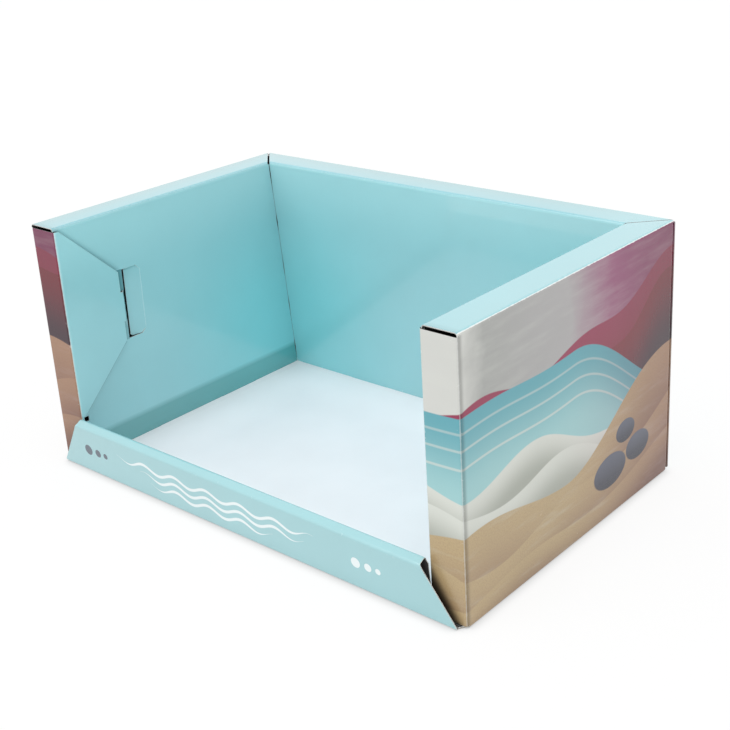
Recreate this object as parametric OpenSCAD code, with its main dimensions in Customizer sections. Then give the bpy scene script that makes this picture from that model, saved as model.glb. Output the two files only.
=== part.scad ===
// Counter display tray folded from one die-cut blank of printed micro-flute card.
// Every crease turns towards the unprinted reverse, so each wall is drawn as a folded
// strip: a list of flat lengths and of the turns between them, swept along its crease.
// The front is at -Y, the tray stands on z = 0, and x = 0, y = 0 is the middle of its outline.

/* [Tray] */
// Width across the outer side walls
tray_w = 400; // [300:1:600]
// Depth from the faces of the front pillars to the outer back wall
tray_d = 250; // [200:1:400]
// Height from the table to the top of the rims
tray_h = 195; // [150:1:300]
// Width of the flat rims on top of the hollow walls
rim_w = 26; // [16:1:40]

/* [Card] */
// Thickness of the card
board = 1.6; // [1.2:0.1:2.5]
// Inside radius of a crease
fold_r = 0.6; // [0.4:0.1:1.2]
// Gap between plies that only lie against each other
slip = 0.2; // [0.15:0.05:0.5]
// Gap at cut edges that face another panel
slit = 0.5; // [0.3:0.1:1.5]
// Gap between the rims at the mitred back corners
mitre_gap = 0.7; // [0.4:0.1:2]

/* [Front lip] */
// Height of the lip
lip_h = 42; // [30:1:60]
// How far the foot of the lip stands in front of the pillars
lip_out = 4.6; // [4:0.1:8]
// Forward lean of the lip, in degrees
lip_lean = 5; // [2:0.5:8]
// Length of the sloping strip along the top of the lip
lip_crown = 3.5; // [2:0.1:6]
// Forward slope of that strip, in degrees
crown_tilt = 30; // [15:1:45]
// How far the foot of the lip stops short of the side walls
lip_inset = 5; // [3:0.5:12]
// Gap from the top ends of the lip to the lock flaps
lip_end_gap = 1.7; // [1:0.1:6]

/* [Pillars and lock flaps] */
// Drop from the rims to the cut tops of the pillars
pillar_drop = 2.8; // [2.6:0.1:5]
// Gap under the cut feet of the pillars
pillar_rise = 0.6; // [0.4:0.1:2]
// Length of a lock flap, from the pillar face to its free end
flap_len = 52; // [40:1:90]
// Height of the free end of a lock flap, and of the window beside it
lock_h = 58; // [40:1:70]
// Height of the tongue on a lock flap
tongue_h = 24; // [12:1:34]
// Straight neck of the tongue before its crease
tongue_neck = 1.2; // [0.6:0.1:1.8]
// Length of the tongue past its crease
tongue_len = 6.5; // [5:0.5:7.5]
// Turn of the tongue into the hollow wall, in degrees
tongue_tilt = 60; // [58:1:66]
// How far the front edge of the window lies behind the free end of the lock flap
window_set = 5; // [4.5:0.5:8]
// Open part of the window, in front of the push-in flap
lock_gap = 4.7; // [4:0.1:12]
// Length of the push-in flap behind the window
push_len = 13.3; // [8:0.1:16]
// Turn of the push-in flap into the hollow wall, in degrees
push_tilt = 9; // [7:1:16]
// Corner cuts beside the crease of the push-in flap
push_corner = 4; // [2:0.5:8]

/* [Inner panels] */
// Distance from an outer side wall to the foot of its inner panel
side_foot = 22; // [12:0.5:24]
// Distance from the outer back wall to the foot of the back inner panel
back_foot = 8; // [7:0.5:14]
// Width of each lock tab that goes into the base
tab_w = 40; // [20:1:60]
// Distance between the lock tabs of a side inner panel
side_tab_pitch = 110; // [70:1:130]
// Distance between the lock tabs of the back inner panel
back_tab_pitch = 180; // [80:1:220]
// Distance between the lock tabs of the lip
lip_tab_pitch = 200; // [80:1:220]
// Gap around a lock tab in its slot
tab_fit = 0.3; // [0.2:0.05:0.6]

/* [Rear corner tabs] */
// Length of the corner tabs inside the hollow back wall
corner_tab_len = 45; // [20:1:80]
// Slope cut off the ends of the corner tabs
corner_tab_cut = 12; // [4:1:18]

/* [Hidden] */
// Straight steps in each crease
bend_steps = 5;
// Run of a fold root into the panel that it grows from
root = 0.5;
// Overrun of cutting shapes
over = 10;
// Outside radius of a crease
fold_out = fold_r + board;
// Outer face of a side wall, and printed face of its inner panel
side_x = tray_w/2;
inner_x = side_x - rim_w;
// Printed face of a lock flap, which lies on the inner panel
flap_x = inner_x - slip - board;
// Back ends of the side walls, and outer faces of the rear corner tabs
corner_tab_y = tray_d - board - slip;
wall_end = corner_tab_y - fold_out;
// Front edges of the inner panels
inner_start = fold_out + slit;
// Front ends of the side rims
rim_start = board/4;
// Underside of the rims
rim_under = tray_h - board;
// Cut top of the pillars, and foot of the lock flaps
pillar_top = tray_h - pillar_drop;
flap_foot = lip_h + slit;
// Middle height of the locks
lock_z = (pillar_top + flap_foot)/2;
// Crease of the push-in flap
push_y = flap_len + window_set + lock_gap + push_len;
// Lowest point of free edges and of lock tabs
free_foot = board + slit;
tab_foot = slip;
// Slopes of the side and back inner panels
side_slope = atan((rim_w - side_foot)/(tray_h - fold_out - board));
back_slope = atan((rim_w - back_foot)/(tray_h - fold_out - board));
// End of the base under the lip, and length of its front flat
lip_root = lip_out - fold_out;
lip_face = (lip_h - 2*fold_out - lip_crown*sin(crown_tilt))/cos(lip_lean);
// Turn from the lip's face to the strip along its top
crown_turn = 90 + lip_lean - crown_tilt;
// Foremost point of the lip, and middle of the tray's outline
lip_reach = lip_root + fold_out*cos(lip_lean) + lip_face*sin(lip_lean);
middle_y = (tray_d - lip_reach)/2;
// Half widths of the lip
lip_top_x = flap_x - lip_end_gap;
lip_foot_x = side_x - lip_inset;

// Printed face of a side inner panel at a height
function panel_x(z) = inner_x + fold_out*(1 - cos(side_slope))
    + (tray_h - fold_out - fold_out*sin(side_slope) - z)*tan(side_slope);

// Printed face of the back inner panel at a height
function back_y(z) = tray_d - rim_w + fold_out*(1 - cos(back_slope))
    + (tray_h - fold_out - fold_out*sin(back_slope) - z)*tan(back_slope);

// Printed face of the lip's front at a height, measured forward of the pillars
function lip_y(z) = lip_root + fold_out*cos(lip_lean)
    + (z - fold_out*(1 - sin(lip_lean)))*tan(lip_lean);

// Depth of the lip from its front to the printed face of its inner panel
function lip_depth() = 2*fold_out + lip_crown*sin(crown_turn);

// One face of a folded strip: depth 0 is the printed face, depth board the reverse
function strip_face(flats, turns, at, dir, depth, i = 0) =
    let(end = at + flats[i]*[cos(dir), sin(dir)],
        pivot = end + fold_out*[-sin(dir), cos(dir)])
    i == len(turns)
        ? [end + depth*[-sin(dir), cos(dir)]]
        : let(next = dir + turns[i])
          concat(
              [for (s = [0:bend_steps])
                  let(a = dir + turns[i]*s/bend_steps)
                  pivot + (fold_out - depth)*[sin(a), -cos(a)]],
              strip_face(flats, turns, pivot + fold_out*[sin(next), -cos(next)], next, depth, i + 1));

// Closed section of a folded strip that starts at a point and heads in a direction
function strip_section(flats, turns, at, dir) =
    let(printed = concat([at], strip_face(flats, turns, at, dir, 0)),
        reverse = concat([at + board*[-sin(dir), cos(dir)]],
            strip_face(flats, turns, at, dir, board)))
    concat(printed, [for (i = [len(reverse) - 1:-1:0]) reverse[i]]);

// Window of the lock in the side inner panel, as y and z
function window(inset) =
    let(front = flap_len + window_set + slit,
        low = lock_z - lock_h/2 + inset,
        high = lock_z + lock_h/2 - inset)
    [[front, low], [push_y - push_corner, low], [push_y, low + push_corner],
     [push_y, high - push_corner], [push_y - push_corner, high], [front, high]];

// Sweeps a section in x and z along y
module along_y(y0, y1) {
    translate([0, y1, 0])
        rotate([90, 0, 0])
            linear_extrude(y1 - y0)
                children();
}

// Sweeps a section in y and z along x
module along_x(x0, x1) {
    translate([x0, 0, 0])
        rotate([90, 0, 90])
            linear_extrude(x1 - x0)
                children();
}

// Places one shape at each of two lock tabs
module tab_pair(pitch) {
    for (side = [-1, 1])
        translate([side*pitch/2, 0])
            children();
}

// Spaces along the foot of an inner panel that leave its two lock tabs standing
module between_tabs(length, pitch) {
    difference() {
        square([length, 2*over], center = true);
        tab_pair(pitch)
            square([tab_w, 3*over], center = true);
    }
}

// Base with the slots for the lock tabs and the cut front corners
module base() {
    edge_x = side_x - fold_out;
    linear_extrude(board)
        difference() {
            polygon([
                [-edge_x, tray_d - fold_out], [-edge_x, fold_out],
                [-lip_foot_x, -lip_root], [lip_foot_x, -lip_root],
                [edge_x, fold_out], [edge_x, tray_d - fold_out]]);
            for (side = [-1, 1])
                scale([side, 1])
                    side_slots();
            back_slots();
            lip_slots();
        }
}

// Slots for the tabs of one side inner panel
module side_slots() {
    inside = panel_x(board) - tab_fit;
    outside = panel_x(0) + board/cos(side_slope) + tab_fit;
    translate([0, side_middle()])
        for (end = [-1, 1])
            translate([inside, end*side_tab_pitch/2 - tab_w/2 - tab_fit])
                square([outside - inside, tab_w + 2*tab_fit]);
}

// Slots for the tabs of the back inner panel
module back_slots() {
    inside = back_y(board) - tab_fit;
    outside = back_y(0) + board/cos(back_slope) + tab_fit;
    tab_pair(back_tab_pitch)
        translate([-tab_w/2 - tab_fit, inside])
            square([tab_w + 2*tab_fit, outside - inside]);
}

// Slots for the tabs of the lip's inner panel
module lip_slots() {
    back = lip_depth()/cos(lip_lean) + tab_fit - lip_y(0);
    front = (lip_depth() - board)/cos(lip_lean) - tab_fit - lip_y(board);
    tab_pair(lip_tab_pitch)
        translate([-tab_w/2 - tab_fit, front])
            square([tab_w + 2*tab_fit, back - front]);
}

// Middle of the side inner panels along y
function side_middle() = (inner_start + back_y(tray_h))/2;

// Right outer wall, rim and sloping inner panel, swept along y
module side_wall() {
    rise = tray_h - 2*fold_out;
    drop = (tray_h - fold_out - fold_out*sin(side_slope))/cos(side_slope);
    difference() {
        along_y(rim_start, tray_d)
            polygon(strip_section(
                [root, rise, rim_w - 2*fold_out, drop], [90, 90, 90 + side_slope],
                [side_x - fold_out - root, 0], 0));
        side_ends();
        rim_mitre(-mitre_gap);
        side_foot();
        along_x(inner_x - over, side_x - fold_out - root) {
            polygon(window(0));
            translate([flap_len + 2*slit, lock_z - tongue_h/2 - slip])
                square([window_set, tongue_h + 2*slip]);
        }
    }
}

// What is cut from the ends of a side wall below its rim
module side_ends() {
    along_x(0, side_x + over) {
        translate([-over, -over])
            square([inner_start + over, pillar_top + slip + over]);
        translate([wall_end, -over])
            square([tray_d - wall_end + over, rim_under + over]);
    }
    along_x(0, side_x - fold_out - root)
        polygon([
            [back_y(-over) - slit, -over], [back_y(rim_under) - slit, rim_under],
            [tray_d + over, rim_under], [tray_d + over, -over]]);
}

// Shape beyond the mitre line of the right back corner, as seen from above
module rim_mitre(shift) {
    near = rim_w + over;
    translate([side_x, tray_d + shift, tray_h - 2*fold_out])
        linear_extrude(2*fold_out + over)
            polygon([[-near, -near], [over, over], [-near, over]]);
}

// What is cut from the foot of a side inner panel
module side_foot() {
    reach = side_x - fold_out - root;
    translate([0, 0, free_foot - over])
        linear_extrude(over)
            intersection() {
                square([reach, tray_d]);
                translate([inner_x, side_middle()])
                    rotate(90)
                        between_tabs(2*tray_d, side_tab_pitch);
            }
    translate([0, 0, tab_foot - over])
        cube([reach, tray_d, over]);
}

// Right lock flap, pillar, outer wall and rear corner tab, swept along z
module side_returns() {
    start = strip_section(
        [tongue_len, flap_len + tongue_neck - fold_out, side_x - flap_x - 2*fold_out,
         wall_end - fold_out, corner_tab_len], [tongue_tilt, 90, 90, 90],
        [0, 0], 270 - tongue_tilt);
    // The first point that lies on the flap is two faces of the tongue crease along
    at_flap = start[bend_steps + 1];
    difference() {
        translate([flap_x - at_flap.x, flap_len + tongue_neck - at_flap.y, board + pillar_rise])
            linear_extrude(pillar_top - board - pillar_rise)
                polygon(start);
        along_x(0, flap_x + fold_out)
            flap_waste();
        along_x(0, side_x - fold_out)
            intersection() {
                translate([fold_out, -over])
                    square([side_x, tray_h + 2*over]);
                flap_waste();
            }
        along_y(wall_end + fold_r, tray_d)
            corner_tab_waste();
    }
}

// What is cut away around a lock flap and its tongue, as y and z
module flap_waste() {
    difference() {
        translate([-over, -over])
            square([side_x, tray_h + 2*over]);
        polygon([
            [-over, -over], [fold_out, -over], [fold_out, flap_foot],
            [flap_len, lock_z - lock_h/2], [flap_len, lock_z - tongue_h/2],
            [flap_len + 2*over, lock_z - tongue_h/2], [flap_len + 2*over, lock_z + tongue_h/2],
            [flap_len, lock_z + tongue_h/2], [flap_len, lock_z + lock_h/2],
            [fold_out, pillar_top], [fold_out, tray_h + over], [-over, tray_h + over]]);
        translate([push_y + over, -over])
            square([side_x, tray_h + 2*over]);
    }
}

// What is cut away at the ends of a rear corner tab, as x and z
module corner_tab_waste() {
    hinge = side_x - fold_out;
    tip = hinge - corner_tab_len;
    low = free_foot + fold_out;
    high = tray_h - fold_out - slit;
    difference() {
        translate([tip - over, -over])
            square([corner_tab_len + fold_out + 2*over, tray_h + 2*over]);
        polygon([
            [side_x + over, low], [hinge, low], [tip, low + corner_tab_cut],
            [tip, high - corner_tab_cut], [hinge, high], [side_x + over, high]]);
    }
}

// Right push-in flap behind the window
module push_flap() {
    intersection() {
        translate([panel_x(lock_z), 0, lock_z])
            rotate([0, -side_slope, 0])
                linear_extrude(2*lock_h, center = true)
                    polygon(strip_section([root, push_len], [push_tilt], [0, push_y + root], 270));
        along_x(0, side_x - fold_out - root)
            union() {
                polygon(window(slip));
                translate([push_y - slip, lock_z - lock_h/2 + push_corner + slip])
                    square([root + 2*slip, lock_h - 2*push_corner - 2*slip]);
            }
    }
}

// One side of the tray
module side() {
    side_wall();
    side_returns();
    push_flap();
}

// Back outer wall, rim and sloping inner panel, swept along x
module back_wall() {
    rise = tray_h - 2*fold_out;
    drop = (tray_h - fold_out - fold_out*sin(back_slope))/cos(back_slope);
    difference() {
        along_x(-side_x, side_x)
            polygon(strip_section(
                [root, rise, rim_w - 2*fold_out, drop], [90, 90, 90 + back_slope],
                [tray_d - fold_out - root, 0], 0));
        for (side = [0, 1])
            mirror([side, 0, 0]) {
                back_ends();
                mirror([1, -1, 0])
                    translate([tray_d - side_x, side_x - tray_d, 0])
                        rim_mitre(-mitre_gap);
            }
        translate([0, back_y(0), free_foot - over])
            linear_extrude(over)
                intersection() {
                    translate([-side_x, -over])
                        square([tray_w, over + tray_d - fold_out - root - back_y(0)]);
                    between_tabs(2*tray_w, back_tab_pitch);
                }
        translate([-side_x, 0, tab_foot - over])
            cube([tray_w, tray_d - fold_out - root, over]);
    }
}

// What is cut from the right end of the back wall
module back_ends() {
    edge_x = side_x - slip;
    along_y(0, tray_d - fold_out)
        polygon([
            [panel_x(rim_under) - slit, rim_under],
            [panel_x(0) - slit, 0], [panel_x(0) - slit, -over],
            [side_x + over, -over], [side_x + over, rim_under]]);
    along_y(tray_d - fold_out - root, tray_d + over)
        polygon([
            [edge_x, rim_under], [edge_x, fold_out], [side_x - fold_out, fold_out],
            [side_x - fold_out, -over], [side_x + over, -over], [side_x + over, rim_under]]);
}

// Front lip: leaning face, sloping crown and inner panel, swept along x
module lip() {
    drop = (lip_h - fold_out + fold_out*sin(lip_lean))/cos(lip_lean);
    difference() {
        mirror([0, 1, 0])
            along_x(-lip_foot_x, lip_foot_x)
                polygon(strip_section(
                    [root, lip_face, lip_crown, drop], [90 - lip_lean, crown_turn, 180 - crown_turn],
                    [lip_root - root, 0], 0));
        for (side = [0, 1])
            mirror([side, 0, 0])
                lip_ends();
        translate([0, -lip_root, free_foot - over])
            linear_extrude(over)
                intersection() {
                    translate([-side_x, root])
                        square([tray_w, 2*over]);
                    between_tabs(2*tray_w, lip_tab_pitch);
                }
        translate([-side_x, root - lip_root, tab_foot - over])
            cube([tray_w, 2*over, over]);
    }
}

// What is cut from the right end of the lip: a slanted end, and the ply behind it
module lip_ends() {
    low = fold_out;
    high = lip_h - fold_out;
    along_y(-lip_reach - over, over)
        polygon([
            [lip_foot_x, low], [lip_top_x, high], [lip_top_x, lip_h + over],
            [side_x + over, lip_h + over], [side_x + over, low]]);
    mirror([0, 1, 0])
        along_x(flap_x - slip, side_x)
            polygon([
                [lip_y(low) - lip_depth()/2, free_foot], [lip_y(high) - lip_depth()/2, high],
                [lip_y(high), lip_h + over], [-over, lip_h + over], [-over, free_foot]]);
}

// The whole folded sheet
module folded_tray() {
    color([0.62, 0.83, 0.86])
        translate([0, -middle_y, 0])
            union() {
                base();
                side();
                mirror([1, 0, 0])
                    side();
                back_wall();
                lip();
            }
}

folded_tray();
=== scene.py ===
import math

import bmesh
import bpy
import numpy as np
from mathutils import Matrix, Vector
from mathutils.geometry import delaunay_2d_cdt


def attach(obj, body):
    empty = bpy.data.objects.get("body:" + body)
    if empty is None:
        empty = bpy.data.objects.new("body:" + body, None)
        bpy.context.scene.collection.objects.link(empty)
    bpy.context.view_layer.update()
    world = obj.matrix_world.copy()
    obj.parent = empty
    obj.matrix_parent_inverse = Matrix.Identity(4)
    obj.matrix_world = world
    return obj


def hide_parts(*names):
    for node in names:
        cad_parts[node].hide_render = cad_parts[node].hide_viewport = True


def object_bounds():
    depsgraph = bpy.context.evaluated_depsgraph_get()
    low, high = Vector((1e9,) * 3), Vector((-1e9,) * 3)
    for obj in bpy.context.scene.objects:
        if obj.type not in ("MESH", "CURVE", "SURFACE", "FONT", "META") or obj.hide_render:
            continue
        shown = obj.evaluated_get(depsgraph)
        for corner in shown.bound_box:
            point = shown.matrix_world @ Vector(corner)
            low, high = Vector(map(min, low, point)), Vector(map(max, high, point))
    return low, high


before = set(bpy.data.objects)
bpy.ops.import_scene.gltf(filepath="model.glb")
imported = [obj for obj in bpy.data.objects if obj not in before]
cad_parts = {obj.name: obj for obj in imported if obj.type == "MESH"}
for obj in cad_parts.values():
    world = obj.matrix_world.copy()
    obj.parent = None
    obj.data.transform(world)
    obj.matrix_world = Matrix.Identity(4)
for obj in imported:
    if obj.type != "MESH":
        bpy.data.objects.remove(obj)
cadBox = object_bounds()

mm = 0.001

# sizes of the folded card, in millimetres; the outer sizes come from the CAD box
card = {
    "width": (cadBox[1].x - cadBox[0].x)/mm,
    "height": (cadBox[1].z - cadBox[0].z)/mm,
    "depth": 250.0,             # pillar faces to the back wall
    "rimWidth": 26.0,
    "board": 1.6,
    "foldOut": 2.2,             # outside radius of a crease
    "flutePitch": 3.2,
    "slip": 0.2,                # play between plies that lie on each other
    "slit": 0.5,                # width of a cut in the blank
    "mitreGap": 0.7,
    "leftMitre": 0.9,           # the left back corner stands open a little more
    "lipHeight": 42.0,
    "lipOut": 4.6,
    "lipLean": 5.0,
    "lipCrown": 3.5,            # sloping strip along the top of the lip
    "crownTilt": 30.0,
    "lipInset": 5.0,
    "lipEndGap": 1.7,
    "lipEase": 0.25,            # upright start of the lip's ends under the crown
    "lipShoulder": 2.5,         # run over which the lip's inner panel widens
    "pillarDrop": 2.8,
    "pillarRise": 0.6,
    "flapLength": 52.0,
    "flapFlat": 2.0,            # level end of the lock flap's upper edge, at its crease
    "toeGap": 2.1,              # small opening beside that crease, where the lower slope ends
    "slopeFoot": 41.5,
    "toeSlot": (9.8, 38.7, 34.4),   # reach, top and foot of the relief slot in the panel behind
    "lockHeight": 58.0,
    "tongueHeight": 24.0,
    "tongueNeck": 1.2,
    "tongueLength": 6.5,
    "tongueTilt": 48.0,
    "tongueCorner": 2.0,
    "windowSet": 5.0,           # free end of the lock flap to the front edge of the window
    "lockGap": 3.9,
    "pushLength": 14.1,
    "pushTilt": 9.0,
    "pushCorner": 4.0,
    "pushNose": 1.5,            # corner cut at the free end of the push-in flap
    "sideFoot": 22.0,           # outer wall to the foot of the inner panel
    "backFoot": 8.0,
    "tabWidth": 40.0,
    "sideTabPitch": 110.0,
    "backTabPitch": 180.0,
    "lipTabPitch": 200.0,
    "tabFit": 0.3,
    "tabTight": 0.06,           # play on the side of a tab slot that shows
    "cornerTabLength": 45.0,
    "cornerTabCut": 12.0,
    "cornerTabFoot": 4.3,
    "rearBand": 5.0,            # print carried round the back wall's side edges
    "seamGap": 0.03,            # seams of the inner panels, as pressed together
    "seamDash": 0.42,           # how far they spring open at intervals
    "dashPitch": 41.0,
    "dashAt": 58.0,
    "dashPower": 4,             # a higher power makes shorter dashes
    "seamTop": 0.2,             # and how far they open under the rim, over the last stretch
    "seamTopRun": 42.0,
    "seamStart": 8.0,           # lowest even row of a seam
    "footGap": 0.1,
}

# how finely the sheet is meshed, and how its cut edges are crushed by the die
sheetMesh = {
    "bendSteps": 8,
    "cell": 9.0,                # largest cell on a flat, mm
    "support": 0.3,             # row beside each crease, mm
    "edgeRow": 1.2,             # row beside a cut edge, which even rows keep clear of, mm
    "wallClear": 1.0,           # a wall's own rows keep this clear of its bends, mm
    "rimClear": 0.5,
    "slantSteps": 7,
    "pinch": 0.95,              # board lost at a cut edge, mm
    "pinchReach": 1.3,
    "rearPinch": 0.15,          # share of that on the back wall's outer edges
    "edgeRoll": 0.08,           # printed face pressed down at a cut edge, mm
    "rollReach": 0.4,
    "linerShare": 0.24,         # part of the cut edge that each liner takes
    "coreRecess": 0.5,          # depth of the open core behind the liners, mm
    "coreSet": 0.55,            # share of that depth at which the wavy paper lies
    "coreCross": 0.4,           # least slant to the flutes of an edge that shows it
    "merge": 0.01,
    "pinHole": 16,              # most sides of a gap that is filled after merging
    "sharp": 40.0,              # edges turned more than this are shaded as sharp, degrees
}

# how worn each crease is, in the order in which the strip folds
creaseWear = {
    "right": (0.3, 1.0, 0.5), "left": (0.3, 1.0, 0.2), "returns": (0.1, 0.5, 0.3), "back": (0.2, 0.25, 0.15),
    "lip": (0.2, 0.06, 0.06), "upright": 0.3, "push": 0.25, "base": 0.3,
}

# shade painted by place, in millimetres
placedShade = {
    "bandLow": 18.0,            # painted shade in a band along the feet of the side panels
    "bandSoft": 5.0,
    "wallStrip": 2.2,           # painted shade on strips on both sides of the pillars' creases
    "wallRow": 1.0,
    "pillarStrip": 2.0625,
    "pillarSoft": 0.625,
    "pushStrip": 2.4,           # painted shadow along the upper edge of the push-in flaps
    "floorRun": 60.0,           # run over which painted shade grows inwards from the walls over the floor of the tray
    "lipEndStrip": 1.6,         # painted shade on the front of the base beside the lip's ends
}
farOff = 50.0                   # stands for no cut edge near by, mm
noFold = (99.0, 0.0)            # and for no crease, with no wear

board = card["board"]
foldOut = card["foldOut"]
halfW = card["width"]/2
depth = card["depth"]
height = card["height"]
innerX = halfW - card["rimWidth"]
flapX = innerX - card["slip"] - board
wallEnd = depth - board - card["slip"] - foldOut
innerStart = foldOut + card["slit"]
rimStart = board/4
pillarTop = height - card["pillarDrop"]
pillarFoot = board + card["pillarRise"]
flapFoot = card["lipHeight"] + card["slit"]
lockZ = (pillarTop + flapFoot)/2
windowY = card["flapLength"] + card["windowSet"] + card["slit"]
pushY = card["flapLength"] + card["windowSet"] + card["lockGap"] + card["pushLength"]
freeFoot = board + card["footGap"]
tabFoot = card["slip"]
cornerTabFoot = card["cornerTabFoot"]
cornerTabTop = height - foldOut - card["slit"]
lipLean = math.radians(card["lipLean"])
sideSlope = math.atan((card["rimWidth"] - card["sideFoot"])/(height - foldOut - board))
backSlope = math.atan((card["rimWidth"] - card["backFoot"])/(height - foldOut - board))
lipRoot = card["lipOut"] - foldOut
crownTilt = math.radians(card["crownTilt"])
crownTurn = math.pi/2 + lipLean - crownTilt
lipFace = (card["lipHeight"] - 2*foldOut - card["lipCrown"]*math.sin(crownTilt))/math.cos(lipLean)
lipDepth = 2*foldOut + card["lipCrown"]*math.sin(crownTurn)
lipReach = lipRoot + foldOut*math.cos(lipLean) + lipFace*math.sin(lipLean)
middleY = (depth - lipReach)/2
lipTopX = flapX - card["lipEndGap"]
lipFootX = halfW - card["lipInset"]
quarterBend = foldOut*math.pi/2
rimRise = foldOut*math.asin((foldOut - board)/foldOut)   # from a wall's top up to the rim's underside


# how far out of the upright a sloping inner panel has gone at a height
def slopeOut(slope, z):
    return foldOut*(1 - math.cos(slope)) + (height - foldOut - foldOut*math.sin(slope) - z)*math.tan(slope)


def panelX(z):
    return innerX + slopeOut(sideSlope, z)


def backY(z):
    return depth - card["rimWidth"] + slopeOut(backSlope, z)


def lipY(z):
    return lipRoot + foldOut*math.cos(lipLean) + (z - foldOut*(1 - math.sin(lipLean)))*math.tan(lipLean)


# width of the pressed seam between two inner panels at a height: dashes, and wider near the rim
def seamAt(z):
    dash = max(0, math.cos(math.tau*(z - card["dashAt"])/card["dashPitch"]))**card["dashPower"]
    top = max(0, 1 - (height - foldOut - z)/card["seamTopRun"])**2
    return card["seamGap"] + card["seamDash"]*dash + card["seamTop"]*top


# a folded section: flats and left turns, walked along the printed face
def foldPath(start, heading, flats, turns):
    zones, at, way, v = [], Vector(start), math.radians(heading), 0.0
    for i, flat in enumerate(flats):
        along, left = Vector((math.cos(way), math.sin(way))), Vector((-math.sin(way), math.cos(way)))
        if flat > 0:
            zones.append({"v0": v, "v1": v + flat, "at": at.copy(), "way": way, "turn": 0.0})
            v, at = v + flat, at + along*flat
        if i < len(turns):
            turn = math.radians(turns[i])
            pivot = at + left*foldOut
            zones.append({"v0": v, "v1": v + foldOut*turn, "at": pivot, "way": way, "turn": turn})
            v, way = v + foldOut*turn, way + turn
            at = pivot + Vector((math.sin(way), -math.cos(way)))*foldOut
    return zones


def onPath(zones, v, deep):
    zone = next((z for z in zones if v <= z["v1"] + 1e-9), zones[-1])
    run = v - zone["v0"]
    if zone["turn"]:
        way = zone["way"] + run/foldOut
        return zone["at"] + Vector((math.sin(way), -math.cos(way)))*(foldOut - deep)
    across, up = math.cos(zone["way"]), math.sin(zone["way"])
    return zone["at"] + Vector((across, up))*run + Vector((-up, across))*deep


def pathRows(zones):
    rows, support = set(), sheetMesh["support"]
    for zone in zones:
        low, high = zone["v0"], zone["v1"]
        if zone["turn"]:
            steps = max(2, math.ceil(sheetMesh["bendSteps"]*zone["turn"]/(math.pi/2)))
        else:
            steps = math.ceil((high - low)/sheetMesh["cell"])
            rows.update((low, high))
            if high - low > 4*support:
                rows.update((low + support, high - support))
        rows.update(low + (high - low)*k/steps for k in range(steps + 1))
    return sorted({round(v, 5) for v in rows})


# even lines, apart from those too close to a fixed one
def spread(low, high, extra=()):
    steps = math.ceil((high - low)/sheetMesh["cell"])
    fixed = {round(v, 5) for v in extra}
    even = {round(low + (high - low)*k/steps, 5) for k in range(steps + 1)}
    return sorted(fixed | {v for v in even if all(abs(v - f) > sheetMesh["edgeRow"] for f in fixed)})


def near(a, b):
    return abs(a - b) < 1e-3


# cells of a flat outline, cut along grid lines
def cutCells(outline, holes, uLines, vLines):
    points, edges, faces = [], [], []
    for ring in [outline, *holes]:
        turn = sum(a[0]*b[1] - b[0]*a[1] for a, b in zip(ring, ring[1:] + ring[:1]))
        ring = ring if turn > 0 else ring[::-1]
        faces.append(list(range(len(points), len(points) + len(ring))))
        points.extend(Vector(p) for p in ring)
    (lowU, highU), (lowV, highV) = ((min(c), max(c)) for c in zip(*outline))
    inset, past = 0.01, 1.0
    lines = [((u, lowV - past), (u, highV + past)) for u in uLines if lowU + inset < u < highU - inset]
    lines += [((lowU - past, v), (highU + past, v)) for v in vLines if lowV + inset < v < highV - inset]
    for a, b in lines:
        edges.append((len(points), len(points) + 1))
        points.extend((Vector(a), Vector(b)))
    wholeFaces, closest = 4, 1e-4
    spots, _, cells, _, _, owners = delaunay_2d_cdt(points, edges, faces, wholeFaces, closest)
    kept = [list(c) for c, own in zip(cells, owners) if own and 0 in own and max(own) == 0]
    used = sorted({i for c in kept for i in c})
    place = {old: new for new, old in enumerate(used)}
    return [(spots[i][0], spots[i][1]) for i in used], [[place[i] for i in c] for c in kept]


class Sheet:
    def __init__(self):
        self.bm = bmesh.new()
        self.uv = self.bm.loops.layers.uv.new("sheet")
        layers = self.bm.verts.layers.float
        self.foldGap, self.foldWear = layers.new("foldGap"), layers.new("foldWear")
        self.edgeGap, self.across, self.ply = layers.new("edgeGap"), layers.new("across"), layers.new("ply")
        self.shade = layers.new("shade")
        self.coreRuns = []

    def vert(self, co, gap, wear, edge, across, shade, ply):
        v = self.bm.verts.new(co)
        v[self.foldGap], v[self.foldWear], v[self.edgeGap] = gap, wear, edge
        v[self.across], v[self.shade], v[self.ply] = across, shade, ply
        return v

    def face(self, verts, material, uvs):
        f = self.bm.faces.new(verts)
        f.material_index, f.smooth = material, True
        for loop, at in zip(f.loops, uvs):
            loop[self.uv].uv = at


def midOf(spots, ring):
    return [sum(spots[i][k] for i in ring)/len(ring) for k in (0, 1)]


# distance of each spot from the nearest cut edge
def gapToCuts(spots, cut):
    if not cut:
        return np.full(len(spots), farOff)
    ends = np.array([[spots[a], spots[b]] for a, b in cut])
    start, along = ends[:, 0], ends[:, 1] - ends[:, 0]
    rel = np.array(spots)[:, None, :] - start[None]
    share = np.clip((rel*along[None]).sum(2)/np.maximum((along**2).sum(1), 1e-12)[None], 0, 1)
    return np.sqrt(((rel - share[..., None]*along[None])**2).sum(2)).min(1)


def plainUv(u, v):
    return (u*mm, v*mm)
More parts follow.
